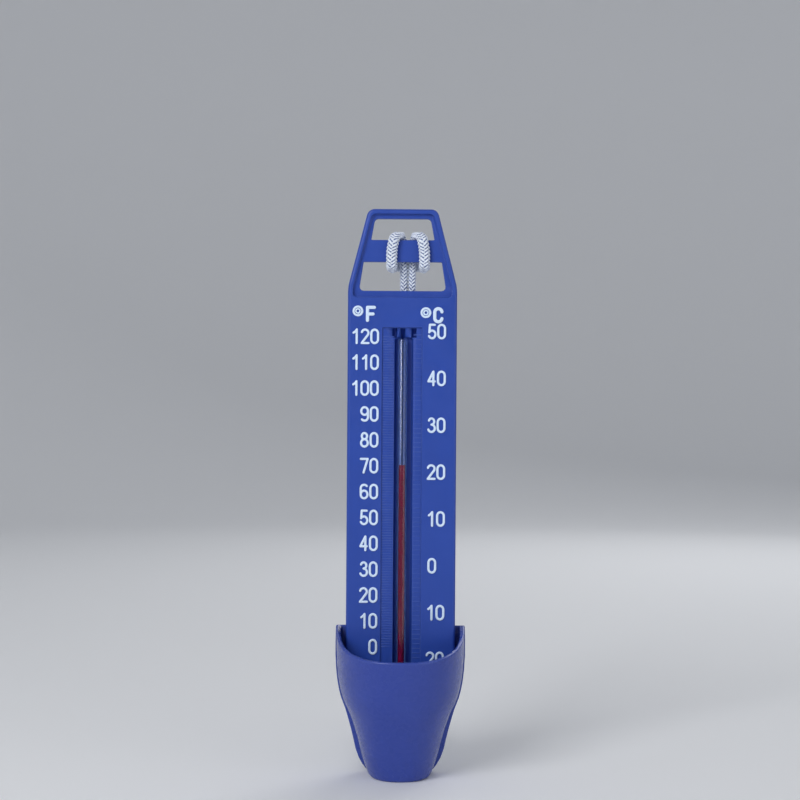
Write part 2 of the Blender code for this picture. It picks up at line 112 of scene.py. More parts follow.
# Where each half leaves its last run and climbs to the knot.
RIGHT_CLIMB = (
    (-4.3, 41.0, 2.6),
    (-2.2, 47.0, 3.4),
    (-1.3, 53.0, 5.6),
    (-1.4, 59.0, 8.4),
    (-2.0, 64.5, 10.2),
)
LEFT_CLIMB = ((-4.6, 50.0, 5.9), (-4.7, 56.0, 7.0), (-4.8, 61.0, 8.9), (-4.6, 65.5, 10.4))
RIGHT_LEVEL, LEFT_LEVEL = 2.5, 6.0  # the height of each half's runs
RUN_X = 7.9  # the outer runs of the hank
INNER_RUN_X = -4.6
FAR_FOLD_Y = 72.1
NEAR_FOLD_Y = 31.85

# --- braid --------------------------------------------------------------------------------------
YARNS = 6  # in each direction
TURN = 6.3 * MM  # the length in which a yarn goes round once
YARN_HALF = 0.4  # half a yarn's width, as a share of the space between two
YARN_CROWN = 0.44 * MM  # how far a yarn stands out of its hollows
YARN_WAVE = 0.17 * MM  # how far it rises and falls over and under the others
ROUND_STEPS = 64
ROW = 0.14 * MM  # between two rows of points along the cord
FINE_REACH = 45 * MM  # the part of each half, from the crosspiece, that has every row
ROUTE_ROWS = 6
BAR_HOLD = 1.26 * MM  # how far the cord's middle lies from the bar that it is pulled against


def vectors(rows):
    return [Vector(row) * MM for row in rows]


def smooth_route(points, spacing):
    """Even points along a smooth curve through the route's own points."""
    ends = [points[0] * 2 - points[1], *points, points[-1] * 2 - points[-2]]
    fine = []
    for before, a, b, after in zip(ends, ends[1:], ends[2:], ends[3:]):
        for k in range(24):
            t = k / 24
            bend = 2 * before - 5 * a + 4 * b - after
            twist = 3 * a - before - 3 * b + after
            fine.append(a + ((b - before) * t + bend * t**2 + twist * t**3) / 2)
    fine.append(points[-1])
    path = np.array(fine)
    walked = np.concatenate([[0], np.cumsum(np.linalg.norm(np.diff(path, axis=0), axis=1))])
    count = max(2, round(walked[-1] / spacing))
    even = np.linspace(0, walked[-1], count + 1)
    return np.stack([np.interp(even, walked, path[:, k]) for k in range(3)], 1)


def fold(x, y, radius, start, end, z, steps=8):
    """Points along a flat half turn, in millimetres, between two angles in degrees."""
    turn = [math.radians(start + (end - start) * k / steps) for k in range(steps + 1)]
    return [(x + radius * math.cos(a), y + radius * math.sin(a), z) for a in turn]


def hank_route(z):
    """Away along one side, round the far end, back along the other and round the near end."""
    inner = (RUN_X + INNER_RUN_X) / 2
    return [
        (-RUN_X, 30.0, z),
        (-RUN_X, 44.0, z),
        (-RUN_X, 60.0, z),
        *fold(0, FAR_FOLD_Y, RUN_X, 180, 0, z),
        (RUN_X, 60.0, z),
        (RUN_X, 46.0, z),
        *fold(inner, NEAR_FOLD_Y, RUN_X - inner, 0, -180, z),
    ]


def half_route(side, floor, level, climb):
    hung = [(HITCH_X + side * x, y, z) for x, y, z in HITCH + HANG]
    return smooth_route(vectors([*hung, *floor, *hank_route(level), *climb]), ROW)


def side_vectors(path):
    """Two unit vectors across the path at each point, which don't twist round it."""
    along = np.gradient(path, axis=0)
    along /= np.linalg.norm(along, axis=1)[:, None]
    first = np.cross(along[0], (0.0, 0.0, 1.0))
    if np.linalg.norm(first) < 0.1:
        first = np.cross(along[0], (0.0, 1.0, 0.0))
    across = np.empty_like(path)
    across[0] = first / np.linalg.norm(first)
    for i in range(1, len(path)):
        kept = across[i - 1] - along[i] * (across[i - 1] @ along[i])
        across[i] = kept / np.linalg.norm(kept)
    return across, np.cross(along, across)


def braid_relief(angle, place, radius):
    """A two over, two under braid: its height, and where each point lies across its yarn."""
    u = YARNS * (angle / (2 * math.pi) + place / TURN)
    v = YARNS * (angle / (2 * math.pi) - place / TURN)
    i, j = np.round(u), np.round(v)
    base = radius - YARN_CROWN - YARN_WAVE
    crown_u = YARN_CROWN * np.sqrt(np.maximum(0, 1 - ((u - i) / YARN_HALF) ** 2))
    crown_v = YARN_CROWN * np.sqrt(np.maximum(0, 1 - ((v - j) / YARN_HALF) ** 2))
    over = base + crown_u + YARN_WAVE * np.cos(math.pi / 2 * (v + i - 0.5))
    under = base + crown_v - YARN_WAVE * np.cos(math.pi / 2 * (u + j - 0.5))
    return np.maximum(over, under), np.where(over > under, u - i, v - j)


def grid_mesh(name, points, closed_rows=False):
    """A mesh from rows of points that go round; the ends are capped unless the rows close on themselves."""
    rows, count = points.shape[:2]
    index = np.arange(rows * count).reshape(rows, count)
    below = index if closed_rows else index[:-1]
    above = np.roll(index, -1, 0) if closed_rows else index[1:]
    quads = np.stack([below, np.roll(below, -1, 1), np.roll(above, -1, 1), above], -1).reshape(-1, 4)
    faces = quads.tolist()
    if not closed_rows:
        faces += [index[0, ::-1].tolist(), index[-1].tolist()]
    mesh = bpy.data.meshes.new(name)
    mesh.from_pydata(points.reshape(-1, 3).tolist(), [], faces)
    return mesh


def added(name, mesh, finish, smooth_angle=None):
    """An object from a mesh, with its normals out, shaded smooth."""
    bm = bmesh.new()
    bm.from_mesh(mesh)
    bmesh.ops.recalc_face_normals(bm, faces=bm.faces)
    bm.to_mesh(mesh)
    bm.free()
    mesh.shade_smooth()
    if smooth_angle:
        mesh.set_sharp_from_angle(angle=math.radians(smooth_angle))
    mesh.materials.clear()
    mesh.materials.append(finish)
    thing = bpy.data.objects.new(name, mesh)
    bpy.context.scene.collection.objects.link(thing)
    return thing


def braided(name, path, sides, place, finish, radius=CORD_D / 2, closed=False, shaped=None):
    """A braided tube along a path. shaped changes its middles and its offsets from them."""
    angle = np.linspace(0, 2 * math.pi, ROUND_STEPS, endpoint=False)[None, :]
    height, across = braid_relief(angle, place[:, None], radius)
    ring = np.cos(angle)[..., None] * sides[0][:, None] + np.sin(angle)[..., None] * sides[1][:, None]
    offset = ring * height[..., None]
    if shaped:
        path, offset = shaped(path, offset)
    mesh = grid_mesh(name, path[:, None] + offset, closed)
    depth = (radius - height) / (YARN_CROWN + YARN_WAVE)
    for label, values in (("across_yarn", across), ("yarn_depth", depth)):
        made = mesh.attributes.new(label, "FLOAT", "POINT")
        made.data.foreach_set("value", values.astype(np.float32).ravel())
    return added(name, mesh, finish)


# --- materials ----------------------------------------------------------------------------------
def new_material(name, colour, roughness, **inputs):
    """A Principled material, its shader and its node tree."""
    made = bpy.data.materials.new(name)
    made.use_nodes = True
    tree = made.node_tree
    shader = tree.nodes["Principled BSDF"]
    shader.inputs["Base Color"].default_value = (*colour, 1)
    shader.inputs["Roughness"].default_value = roughness
    for key, value in inputs.items():
        shader.inputs[key.replace("_", " ")].default_value = value
    return made, tree, shader


def input_socket(made, key):
    """A node's input by its place (i0, i1 and so on) or by its name, with _ for a space."""
    if key[0] == "i" and key[1:].isdigit():
        return made.inputs[int(key[1:])]
    return made.inputs[key.replace("_", " ")]


def node(tree, kind, settings=(), **links):
    """A node with some of its inputs set or linked: a socket is linked, and a value is set."""
    made = tree.nodes.new(kind)
    for key, value in dict(settings).items():
        setattr(made, key, value)
    for key, value in links.items():
        socket = input_socket(made, key)
        if isinstance(value, bpy.types.NodeSocket):
            tree.links.new(value, socket)
        else:
            socket.default_value = value
    return made


def object_place(tree):
    return node(tree, "ShaderNodeTexCoord").outputs["Object"]


def maths(tree, operation, first, **others):
    return node(tree, "ShaderNodeMath", {"operation": operation}, i0=first, **others).outputs[0]


def noise(tree, where, scale, detail=2.0):
    made = node(tree, "ShaderNodeTexNoise", Vector=where, Scale=scale, Detail=detail)
    return made.outputs["Fac"]


def ranged(tree, value, low, high, to_low, to_high):
    made = node(tree, "ShaderNodeMapRange", i0=value, i1=low, i2=high, i3=to_low, i4=to_high)
    return made.outputs[0]


def mixed(tree, share, first, second):
    """A mix of two colours, each a socket or an RGB triple."""
    made = node(tree, "ShaderNodeMix", {"data_type": "RGBA"}, i0=share)
    for socket, value in ((made.inputs[6], first), (made.inputs[7], second)):
        if isinstance(value, bpy.types.NodeSocket):
            tree.links.new(value, socket)
        else:
            socket.default_value = (*value, 1)
    return made.outputs[2]


def bumped(tree, height, strength, distance, normal=None):
    links = {"Height": height, "Strength": strength, "Distance": distance}
    if normal is not None:
        links["Normal"] = normal
    return node(tree, "ShaderNodeBump", **links).outputs["Normal"]


def edge_share(tree, radius):
    """0 on flat places, towards 1 along rounded and sharp edges."""
    soft = node(tree, "ShaderNodeBevel", {"samples": 6}, Radius=radius).outputs["Normal"]
    hard = node(tree, "ShaderNodeNewGeometry").outputs["Normal"]
    facing = node(tree, "ShaderNodeVectorMath", {"operation": "DOT_PRODUCT"}, i0=soft, i1=hard)
    return ranged(tree, facing.outputs["Value"], 0.999, 0.86, 0.0, 1.0)


def moulded_plastic(name, colour, edge=0.5, smooth=0.32):
    """Satin injection-moulded plastic: a fine eroded grain, cloudy colour, and a patchy painted highlight
    that makes the edges paler.

    edge is the painted edge highlight's radius in millimetres, and smooth is the least roughness.
    """
    made, tree, shader = new_material(name, colour, 0.4, Specular_IOR_Level=0.35)
    where = object_place(tree)
    dark = [c * 0.9 for c in colour]
    pale = [c * 1.12 + 0.004 for c in colour]
    body = mixed(tree, noise(tree, where, 70, 4), dark, pale)
    patches = ranged(tree, noise(tree, where, 260, 3), 0.35, 0.7, 0.15, 0.6)
    # painted highlight: the rounded edges are coloured paler, in patches
    painted_edge_highlight = maths(tree, "MULTIPLY", edge_share(tree, edge * MM), i1=patches)
    edge_highlight_colour = [(c + p) / 2 for c, p in zip(colour, (0.2, 0.3, 0.62))]
    tree.links.new(mixed(tree, painted_edge_highlight, body, edge_highlight_colour), shader.inputs["Base Color"])
    dull = ranged(tree, noise(tree, where, 420, 3), 0.3, 0.7, smooth, smooth + 0.14)
    tree.links.new(dull, shader.inputs["Roughness"])
    grain = bumped(tree, noise(tree, where, 5200, 2), 0.16, 0.03 * MM)
    flow = bumped(tree, noise(tree, where, 160, 2), 0.25, 0.05 * MM, grain)
    tree.links.new(flow, shader.inputs["Normal"])
    return made


def painted_white():
    """The numerals' pad-printed white: slightly uneven, a little blue showing through thin places."""
    white = (0.68, 0.82, 1.0)
    made, tree, shader = new_material("numeral_white", white, 0.45)
    where = object_place(tree)
    thin = ranged(tree, noise(tree, where, 1700, 3), 0.55, 0.85, 0.0, 0.5)
    tree.links.new(mixed(tree, thin, white, (0.4, 0.5, 0.8)), shader.inputs["Base Color"])
    grain = bumped(tree, noise(tree, where, 4000, 2), 0.2, 0.02 * MM)
    tree.links.new(grain, shader.inputs["Normal"])
    return made


def cord_white():
    """Braided polyamide: fine fibres along each yarn, a soft sheen, and dark blue painted shade in the
    hollows between yarns.
    """
    made, tree, shader = new_material(
        "cord_white", (0.76, 0.82, 0.96), 0.42, Sheen_Weight=0.08, Sheen_Roughness=0.4
    )
    fibres_per_space = 9
    across = node(tree, "ShaderNodeAttribute", {"attribute_name": "across_yarn"}).outputs["Fac"]
    depth = node(tree, "ShaderNodeAttribute", {"attribute_name": "yarn_depth"}).outputs["Fac"]
    where = object_place(tree)
    ridge = maths(tree, "COSINE", maths(tree, "MULTIPLY", across, i1=2 * math.pi * fibres_per_space))
    # painted shade: the deeper the yarn's surface, the darker blue it is coloured
    painted_hollow_shade = ranged(tree, depth, 0.25, 0.6, 0.0, 1.0)
    uneven = mixed(tree, noise(tree, where, 900, 3), (0.78, 0.86, 1.0), (0.9, 0.95, 1.0))
    tree.links.new(mixed(tree, painted_hollow_shade, uneven, (0.08, 0.13, 0.34)), shader.inputs["Base Color"])
    fibres = bumped(tree, ridge, 0.5, 0.025 * MM)
    fuzz = bumped(tree, noise(tree, where, 6000, 2), 0.3, 0.02 * MM, fibres)
    tree.links.new(fuzz, shader.inputs["Normal"])
    return made


def clear_glass():
    """Drawn glass, with faint drawing lines along the tube."""
    made, tree, shader = new_material(
        "drawn_glass", (0.93, 0.96, 1.0), 0.05, Transmission_Weight=1.0, IOR=1.5, Specular_IOR_Level=0.03
    )
    where = object_place(tree)
    drawn = node(tree, "ShaderNodeMapping", Vector=where, Scale=(1, 1, 0.02)).outputs[0]
    streaks = noise(tree, drawn, 2600, 2)
    tree.links.new(ranged(tree, streaks, 0.3, 0.7, 0.1, 0.2), shader.inputs["Roughness"])
    tree.links.new(bumped(tree, streaks, 0.04, 0.01 * MM), shader.inputs["Normal"])
    return made


def milky_glass(name, pale, dark):
    """Blue-white paint for the reflections seen along the glass's sides, with a painted dark shade line up
    the tube's middle, as seen from in front.
    """
    made, tree, shader = new_material(name, pale, 0.4, Specular_IOR_Level=0.05)
    where = object_place(tree)
    across = node(tree, "ShaderNodeSeparateXYZ", Vector=where).outputs["X"]
    beside = maths(tree, "ABSOLUTE", maths(tree, "SUBTRACT", across, i1=TUBE_X))
    # 0 on the painted dark shade line up the middle, 1 on the painted reflection beside it
    painted_reflection_share = ranged(tree, beside, 0.12 * MM, 0.3 * MM, 0.0, 1.0)
    drawn = node(tree, "ShaderNodeMapping", Vector=where, Scale=(1, 1, 0.05)).outputs[0]
    thin, thick = ([c * share for c in pale] for share in (0.85, 1.1))
    cloud = mixed(tree, noise(tree, drawn, 1800, 3), thin, thick)
    tree.links.new(mixed(tree, painted_reflection_share, dark, cloud), shader.inputs["Base Color"])
    tree.links.new(bumped(tree, noise(tree, drawn, 2600, 2), 0.05, 0.01 * MM), shader.inputs["Normal"])
    return made


def dyed_spirit():
    """Crimson spirit, seen as an even colour with faint darker places."""
    made, tree, shader = new_material("dyed_spirit", (0.25, 0.002, 0.045), 0.4, Specular_IOR_Level=0.05)
    where = object_place(tree)
    depth = noise(tree, where, 300, 2)
    shades = mixed(tree, depth, (0.2, 0.002, 0.038), (0.29, 0.003, 0.055))
    tree.links.new(shades, shader.inputs["Base Color"])
    return made


def soft_rubber():
    """Matte grey rubber with a fine speckle."""
    made, tree, shader = new_material("soft_rubber", (0.2, 0.2, 0.22), 0.8)
    where = object_place(tree)
    speck = noise(tree, where, 2400, 4)
    tree.links.new(mixed(tree, speck, (0.14, 0.14, 0.16), (0.26, 0.26, 0.28)), shader.inputs["Base Color"])
    tree.links.new(bumped(tree, speck, 0.4, 0.05 * MM), shader.inputs["Normal"])
    return made


def tie_plastic():
    """The twist tie's matte plastic, slightly creased."""
    made, tree, shader = new_material("tie_plastic", (0.75, 0.77, 0.8), 0.5)
    where = object_place(tree)
    crease = noise(tree, where, 1300, 4)
    tree.links.new(mixed(tree, crease, (0.68, 0.7, 0.74), (0.82, 0.84, 0.86)), shader.inputs["Base Color"])
    tree.links.new(bumped(tree, crease, 0.35, 0.08 * MM), shader.inputs["Normal"])
    return made


# --- camera -------------------------------------------------------------------------------------
LENS, SENSOR = 74.8, 36  # millimetres
CAMERA_X, CAMERA_Z = -0.57 * MM, 112.5 * MM
CAMERA_AWAY = 500 * MM  # from the dial
CAMERA_ROLL = -0.0065  # radians


def make_camera():
    """A camera that looks straight at the dial, level but for a slight roll."""
    data = bpy.data.cameras.new("camera")
    data.lens = LENS
    data.sensor_width = SENSOR
    data.clip_start, data.clip_end = 0.02, 20
    camera = bpy.data.objects.new("camera", data)
    bpy.context.scene.collection.objects.link(camera)
    camera.location = (CAMERA_X, FACE_Y - CAMERA_AWAY, CAMERA_Z)
    camera.rotation_euler = (math.pi / 2, CAMERA_ROLL, 0)
    bpy.context.scene.camera = camera


# --- cord ---------------------------------------------------------------------------------------
GRIP_REACH = 2.5 * MM  # the cord is pressed where its middle is this near the bar
GRIP_ROWS = 35  # over which the press sets in
FLATTENED, WIDENED = 0.22, 0.07  # by the press, as shares of the cord's thickness
# The two standing strands: behind STRAND_Y, close to the hitch's middle, clear of the crosspiece.
STRAND_Y = 14.5 * MM
STRAND_BESIDE = 2.7 * MM
STRAND_LOW_Z = 60 * MM
CROSSPIECE_LOW_Z, CROSSPIECE_FRONT_Y = 148 * MM, 17 * MM
NIP = 0.5 * MM  # how far each strand is drawn towards the other
NIP_ROWS = 61
NIP_NARROWED, NIP_DEEPENED = 0.2, 0.1
# Where the braid's V shapes are lined up: the arms' and the strands' levels, and what they lie
# before or behind, in millimetres.
ARM_LEVEL, STRAND_LEVEL = 157.5, 149.0
ARM_BEFORE, STRAND_BEHIND = 11.0, 14.0
# The braid's own angle where its V shapes point against or along the route, in degrees times YARNS.
V_AGAINST, V_ALONG = 270, 630


def eased(values, rows):
    """The values, smoothed along the cord over a number of rows, as a column."""
    kernel = np.hanning(rows) / np.hanning(rows).sum()
    return np.convolve(np.pad(values, rows // 2, mode="edge"), kernel, mode="valid")[:, None]


def pulled_tight(path, offset):
    """The hitch under tension: flat against the bar, and its standing strands nipped together."""
    x, y, z = path.T
    nearest = np.stack([x, np.clip(y, *BAR_Y), np.clip(z, *BAR_Z)], 1)
    away = path - nearest
    far = np.linalg.norm(away, axis=1)
    out = away / np.maximum(far, 1e-6)[:, None]
    strand = (y > STRAND_Y) & (np.abs(x - HITCH_X * MM) < STRAND_BESIDE) & (z > STRAND_LOW_Z)
    strand &= (z < CROSSPIECE_LOW_Z) | (y < CROSSPIECE_FRONT_Y)
    press = eased(((far < GRIP_REACH) & ~strand).astype(float), GRIP_ROWS)
    along = np.sum(offset * out[:, None], -1, keepdims=True) * out[:, None]
    rest = offset - along
    offset = along * (1 - FLATTENED * press[:, None]) + rest * (1 + WIDENED * press[:, None])
    path = path - out * (far - BAR_HOLD)[:, None] * press
    nip = eased(strand.astype(float), NIP_ROWS)
    path[:, 0] -= np.sign(x - HITCH_X * MM) * NIP * nip[:, 0]
    offset[..., 0] *= 1 - NIP_NARROWED * nip
    offset[..., 1] *= 1 + NIP_DEEPENED * nip
    return path, offset


def chevrons_down(path, sides, place):
    """The sides turned about the path, so that the braid's V shapes face the dial side and point down."""
    along = np.gradient(path, axis=0)
    upright = np.abs(along[:, 2]) > 0.9 * np.linalg.norm(along, axis=1)
    x, y, z = path.T / MM
    period = 4 * math.pi / YARNS
    knots, turns = [], []
    for side in (-1, 1):
        half = upright & (side * (x - HITCH_X) > 0)
        arm = half & (y < ARM_BEFORE) & (abs(z - ARM_LEVEL) < 1)
        strand = half & (y > STRAND_BEHIND) & (abs(z - STRAND_LEVEL) < 1)
        for rows in (strand, arm)[::-side]:
            i = int(np.median(np.nonzero(rows)[0]))
            front = math.atan2(-sides[1][i, 1], -sides[0][i, 1])
            wanted = math.radians((V_AGAINST if along[i, 2] > 0 else V_ALONG) / YARNS)
            turn = front - wanted
            if turns:
                turn += period * round((turns[-1] - turn) / period)
            knots.append(place[i])
            turns.append(turn)
    turn = np.interp(place, knots, turns)[:, None]
    first = np.cos(turn) * sides[0] + np.sin(turn) * sides[1]
    return first, np.cos(turn) * sides[1] - np.sin(turn) * sides[0]


def make_cords(white):
    """The cord's two halves, with the braid running on through the hitch, and their routes."""
    left = half_route(-1, LEFT_FLOOR, LEFT_LEVEL, LEFT_CLIMB)
    right = half_route(1, RIGHT_FLOOR, RIGHT_LEVEL, RIGHT_CLIMB)
    whole = np.concatenate([left[::-1], right[1:]])
    middle = len(left) - 1
    walked = np.concatenate([[0], np.cumsum(np.linalg.norm(np.diff(whole, axis=0), axis=1))])
    place = walked - walked[middle]
    sides = chevrons_down(whole, side_vectors(whole), place)
    cords = []
    for name, part in (("braid_left", range(middle + 1)), ("braid_right", range(middle, len(whole)))):
        rows = [i for i in part if abs(place[i]) < FINE_REACH or (i - middle) % 2 == 0]
        across = (sides[0][rows], sides[1][rows])
        cords.append(braided(name, whole[rows], across, place[rows], white, shaped=pulled_tight))
    return cords, (left[::ROUTE_ROWS], right[::ROUTE_ROWS])


KNOT_CORD_R = 1.5 * MM  # the cord is drawn a little thinner in the knot
KNOT_RISE = 1.25 * MM  # how far it rises and falls at the knot's three crossings
KNOT_ROWS = 360
TAIL_FOOT_Z = 2.8 * MM  # above the knot's lowest point
CUT_ROWS = 6  # the last rows of a tail, which round off its cut end


def turned_shut(sides):
    """The sides of a loop whose last row repeats its first, turned evenly so that they meet."""
    count = len(sides[0]) - 1
    slip = math.atan2(sides[0][-1] @ sides[1][0], sides[0][-1] @ sides[0][0])
    angle = (-slip * np.arange(count) / count)[:, None]
    first, second = sides[0][:-1], sides[1][:-1]
    return np.cos(angle) * first + np.sin(angle) * second, np.cos(angle) * second - np.sin(angle) * first


def make_knot(white):
    """The overhand knot that joins the two ends, and the two cut ends past it."""
    middle = (KNOT_LOW + KNOT_HIGH) / 2
    reach = (KNOT_HIGH - KNOT_LOW) / 2
    turn = np.linspace(0, 2 * math.pi, KNOT_ROWS, endpoint=False)
    # A trefoil, scaled to the knot's box: its own half width is about 2.75, and its half depth is 3.
    loops = np.stack(
        [
            (np.sin(turn) + 2 * np.sin(2 * turn)) / 2.75 * (reach.x - KNOT_CORD_R),
            (np.cos(turn) - 2 * np.cos(2 * turn)) / 3 * (reach.y - KNOT_CORD_R),
            -np.sin(3 * turn) * KNOT_RISE,
        ],
        1,
    )
    loops += (middle.x, middle.y, KNOT_LOW.z + KNOT_CORD_R + KNOT_RISE)
    step = np.linalg.norm(loops - np.roll(loops, 1, 0), axis=1)
    whole_turns = round(step.sum() / TURN * YARNS) / YARNS
    place = np.cumsum(step) / step.sum() * whole_turns * TURN
    sides = turned_shut(side_vectors(np.concatenate([loops, loops[:1]])))
    knot = braided("overhand_knot", loops, sides, place, white, KNOT_CORD_R, closed=True)
    foot = Vector((middle.x, middle.y, KNOT_LOW.z + TAIL_FOOT_Z))
    tails = []
    for name, x, lean in (("cord_end_left", -1.9, -1.0), ("cord_end_right", 1.9, 0.8)):
        route = [(x * 0.5, 2.0, 0.6), (x, 5.0, 0.0), (x + lean, 8.0, -1.2), (x + 1.6 * lean, 9.6, -1.5)]
        path = smooth_route([point + foot for point in vectors(route)], ROW)
        tail = braided(name, path, side_vectors(path), np.arange(len(path)) * ROW, white, KNOT_CORD_R)
        first = len(path) - CUT_ROWS
        for k, vert in enumerate(tail.data.vertices):
            row = k // ROUND_STEPS
            if row >= first:
                share = (row - first + 1) / (CUT_ROWS + 1)
                vert.co = Vector(path[row]).lerp(vert.co, math.sqrt(1 - share**2 * 0.9))
        tails.append(tail)
    return knot, tails


TIE_PLAY = 0.15 * MM  # between the tie and the cord that it holds
TIE_CORNER = 1.5 * MM
# Half the band's section, from its edge to its wire: across as a share of half its width, and out in
# millimetres.
TIE_HALF_SECTION = ((1.0, 0.0), (0.97, 0.2), (0.3, 0.26), (0.15, 0.45))
TIE_END_LONG = 11 * MM
TIE_END_TURN = 3.5 * math.pi
TIE_END_ROWS = 60
TIE_END_X, TIE_END_DRIFT = 4.5 * MM, 2.5 * MM  # where the ends leave the band, and how far they bend back
TIE_END_UP, TIE_END_FALL = 1.6 * MM, 0.5 * MM  # above the band, and how far they fall
TIE_END_LIFT = 0.35 * MM  # of each strip from the line that both are twisted round
# A strip's section, in millimetres: along its flat, and out.
TIE_END_SECTION = ((-1.05, -0.12), (1.05, -0.12), (1.05, 0.12), (-1.05, 0.12))


def make_tie_band(finish, middle_y, low, high):
    """The band, which goes round the hank between the low and high corners, each (x, z)."""
    loop = []
    for x, z, start in (
        (high[0] - TIE_CORNER, high[1] - TIE_CORNER, 0),
        (low[0] + TIE_CORNER, high[1] - TIE_CORNER, 90),
        (low[0] + TIE_CORNER, low[1] + TIE_CORNER, 180),
        (high[0] - TIE_CORNER, low[1] + TIE_CORNER, 270),
    ):
        for k in range(7):
            angle = math.radians(start + 90 * k / 6)
            loop.append((x + TIE_CORNER * math.cos(angle), z + TIE_CORNER * math.sin(angle), angle))
    half = (TIE_HIGH.y - TIE_LOW.y) / 2
    section = [(-a, h) for a, h in TIE_HALF_SECTION] + list(reversed(TIE_HALF_SECTION))
    rows = []
    for x, z, angle in loop:
        out = Vector((math.cos(angle), 0, math.sin(angle)))
        rows.append([Vector((x, middle_y + a * half, z)) + out * h * MM for a, h in section])
    return added("twist_tie", grid_mesh("twist_tie", np.array(rows), True), finish, 50)


def make_tie_end(name, finish, middle_y, high_z, shift):
    """One of the two strips that are twisted together on top. shift is where it starts round the other."""
    rows = []
    for k in range(TIE_END_ROWS + 1):
        share = k / TIE_END_ROWS
        y = middle_y + TIE_END_LONG * share
        z = high_z + TIE_END_UP - TIE_END_FALL * share
        x = TIE_END_X - TIE_END_DRIFT * share**2
        angle = TIE_END_TURN * share
        lift = Vector((math.cos(angle + shift), 0, math.sin(angle + shift))) * TIE_END_LIFT
        flat = Vector((-math.sin(angle), 0, math.cos(angle)))
        out = Vector((math.cos(angle), 0, math.sin(angle)))
        rows.append([Vector((x, y, z)) + lift + flat * a * MM + out * h * MM for a, h in TIE_END_SECTION])
    return added(name, grid_mesh(name, np.array(rows)), finish, 50)


def make_tie(finish):
    """A twist tie: a flat band with a wire along its middle, its two ends twisted together on top."""
    middle_y = (TIE_LOW.y + TIE_HIGH.y) / 2
    low = (HANK_LOW.x - TIE_PLAY, HANK_LOW.z - TIE_PLAY)
    high = (HANK_HIGH.x + TIE_PLAY, HANK_HIGH.z + TIE_PLAY)
    band = make_tie_band(finish, middle_y, low, high)
    ends = [make_tie_end(f"tie_end_{k}", finish, middle_y, high[1], k * math.pi) for k in range(2)]
    return [band, *ends]


# --- plastic ------------------------------------------------------------------------------------
def welded(name, node_name, finish, smooth_angle):
    """A copy of a CAD node with its seams welded and its rounded edges shaded smooth."""
    bm = bmesh.new()
    bm.from_mesh(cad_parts[node_name].data)
    bmesh.ops.remove_doubles(bm, verts=bm.verts, dist=1e-6)
    mesh = bpy.data.meshes.new(name)
    bm.to_mesh(mesh)
    bm.free()
    thing = added(name, mesh, finish, smooth_angle)
    weighted = thing.modifiers.new("weighted", "WEIGHTED_NORMAL")
    weighted.keep_sharp = True
    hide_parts(node_name)
    return thing


CHANNEL_FLOOR_Y = FACE_Y + 0.6 * MM
RIB_HIGH = 0.1 * MM
RIB_HALF = 0.15 * MM
RIB_SUNK = 0.02 * MM
RIB_RAMP = 0.2 * MM  # at each end, over which it grows from RIB_END of its height
RIB_END = 0.4
# Where the two scales' zeros stand, and one degree of each.
FAHRENHEIT_ZERO, FAHRENHEIT_DEGREE = 38.22 * MM, 0.778 * MM
CELSIUS_ZERO, CELSIUS_DEGREE = 62.7 * MM, 1.409 * MM
# From the channel's side to the tube's groove, and from the first rib up to the last.
FAHRENHEIT_RIBS_X, FAHRENHEIT_RIBS_Z = (-5.9 * MM, -2.45 * MM), (FAHRENHEIT_ZERO, 132 * MM)
CELSIUS_RIBS_X, CELSIUS_RIBS_Z = (3.45 * MM, 5.9 * MM), (34.9 * MM, 133.2 * MM)


def make_ribs(name, low_x, high_x, first, last, degree, finish):
    """Fine moulded ribs across one side of the channel's floor, one for each degree."""
    profile = [(-RIB_HALF, -RIB_SUNK), (-0.7 * RIB_HALF, 0.7 * RIB_HIGH), (0, RIB_HIGH)]
    profile += [(-z, y) for z, y in reversed(profile[:-1])]
    stations = ((low_x, RIB_END), (low_x + RIB_RAMP, 1), (high_x - RIB_RAMP, 1), (high_x, RIB_END))
    round_rib = len(profile)
    last_ring = round_rib * (len(stations) - 1)
    verts, faces = [], []
    for k in range(int((last - first) / degree) + 1):
        z = first + k * degree
        start = len(verts)
        for x, grow in stations:
            verts += [(x, CHANNEL_FLOOR_Y - y * (grow if y > 0 else 1), z + dz) for dz, y in profile]
        for ring in range(start, start + last_ring, round_rib):
            for b in range(round_rib):
                c = (b + 1) % round_rib
                faces.append((ring + b, ring + c, ring + round_rib + c, ring + round_rib + b))
        faces.append(tuple(range(start, start + round_rib)))
        faces.append(tuple(reversed(range(start + last_ring, start + last_ring + round_rib))))
    mesh = bpy.data.meshes.new(name)
    mesh.from_pydata(verts, [], faces)
    return added(name, mesh, finish, 60)


# --- numerals -----------------------------------------------------------------------------------
# Lengths here are in millimetres, on the dial.
STROKE = 0.7
TALL, WIDE = (4.75 - STROKE) / 2, (2.72 - STROKE) / 2  # half a digit, along its strokes' centre lines
DIGIT_PITCH = 2.88
RAISED = 0.32
SUNK = 0.06  # the foot of a mark below the dial's face
SOFT_EDGE = 0.16
STACKED = 0.012  # strokes that cross differ by this in height, so that their tops don't coincide
CAP_ANGLES = [math.radians(a) for a in (86, 68, 48, 25)]  # of the rows that round off a stroke's end
FAHRENHEIT_X = -8.3  # a number's last digit
CELSIUS_X, CELSIUS_LONE_X = 8.95, 9.3  # a number's first digit, and one that stands alone
LETTER_STROKE = 1.0
F_TOP_ARM, F_MIDDLE_ARM = 2.05, 1.65
DEGREE_RINGS = ((1.32, 0.66), (0.62, 0.48))  # (radius, stroke) of the sign's outer and inner ring


def arc(x, z, across, up, start, end):
    """Points along an elliptical arc, between two angles in degrees."""
    steps = max(4, round(abs(end - start) / 15))
    turn = [math.radians(start + (end - start) * k / steps) for k in range(steps + 1)]
    return [(x + across * math.cos(a), z + up * math.sin(a)) for a in turn]


